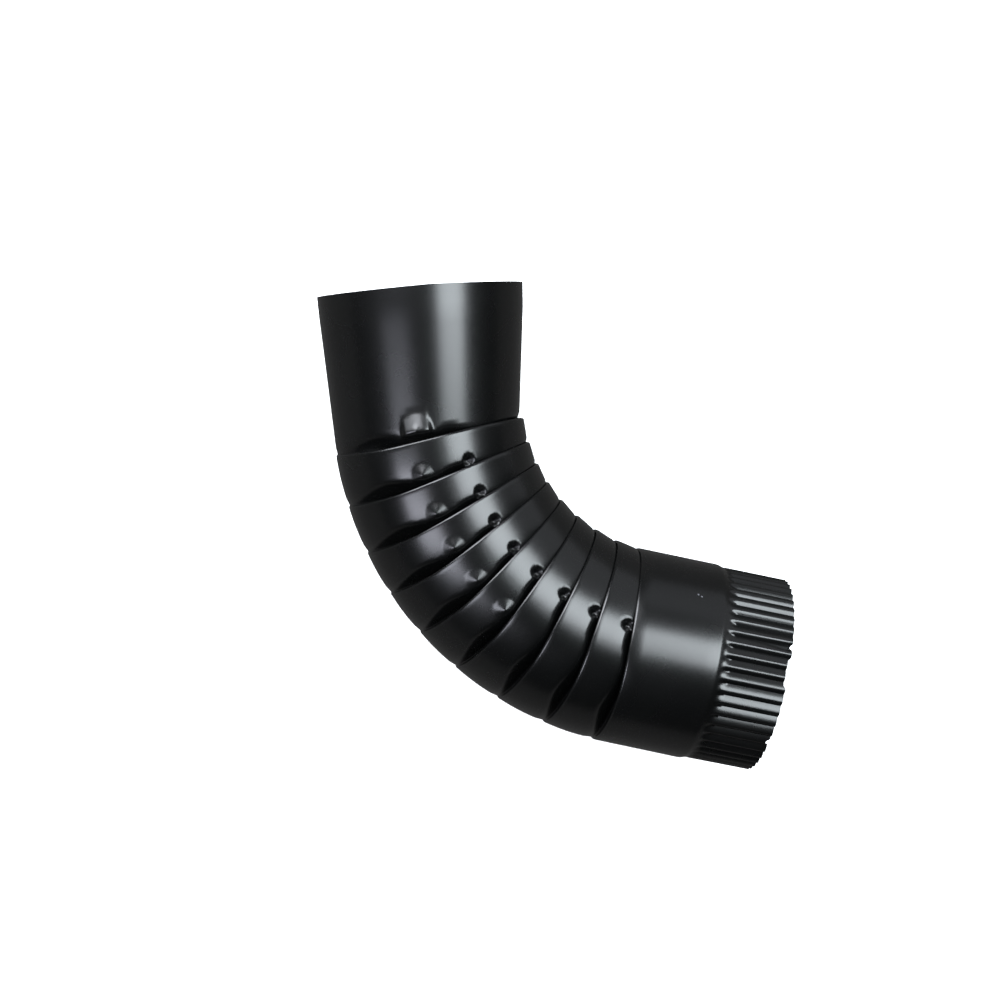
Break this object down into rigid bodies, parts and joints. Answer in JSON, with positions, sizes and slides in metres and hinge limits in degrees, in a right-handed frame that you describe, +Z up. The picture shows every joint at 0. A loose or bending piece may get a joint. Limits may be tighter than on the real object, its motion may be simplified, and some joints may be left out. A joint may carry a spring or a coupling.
{
  "type": "round pleated downspout elbow",
  "caption": "Round downspout elbow in black painted sheet metal: plain flared inlet collar, pleated bend, plain collar and crimped outlet end.",
  "frame": {"origin": "centre of the bounding box in X and Y, on the floor that the elbow lies on", "axes": "the elbow lies on its side: +Z up, square to the plane of the bend; +Y along the inlet's axis and out of its mouth; the outlet points towards +X, 15 degrees down towards -Y"},
  "size_m": [0.23, 0.2528, 0.103],
  "materials": {
    "paint": "satin black coating on sheet metal"
  },
  "bodies": {
    "root": {"elbow": "paint"}
  },
  "joints": []
}
